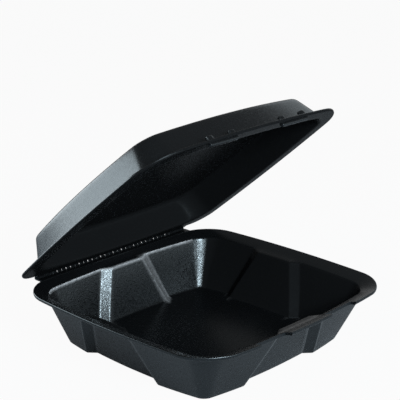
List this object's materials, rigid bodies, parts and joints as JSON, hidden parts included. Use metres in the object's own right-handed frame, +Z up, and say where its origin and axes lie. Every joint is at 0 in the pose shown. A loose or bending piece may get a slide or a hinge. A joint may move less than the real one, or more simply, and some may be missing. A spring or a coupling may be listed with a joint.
{
  "type": "foam hinged lid container",
  "caption": "Square black foam food container with sloping panelled walls and a shallow lid that swings on a perforated fold and latches at the front.",
  "frame": {"origin": "on the resting face, midway between the fold and the line through the front corners, on the mirror plane", "axes": "+Z up, +X along the fold, -Y towards the latch side at the front"},
  "size_m": [0.24, 0.2393, 0.2079],
  "materials": {
    "black_foam": "satin"
  },
  "bodies": {
    "tray": {"base_tray": "black_foam"},
    "lid": {"lid": "black_foam"}
  },
  "joints": [
    {"name": "lid_fold", "type": "hinge", "parent": "tray", "child": "lid", "pos_m": [0, 0.112, 0.052], "axis": [-1, 0, 0], "range_deg": [-40, 140]}
  ]
}
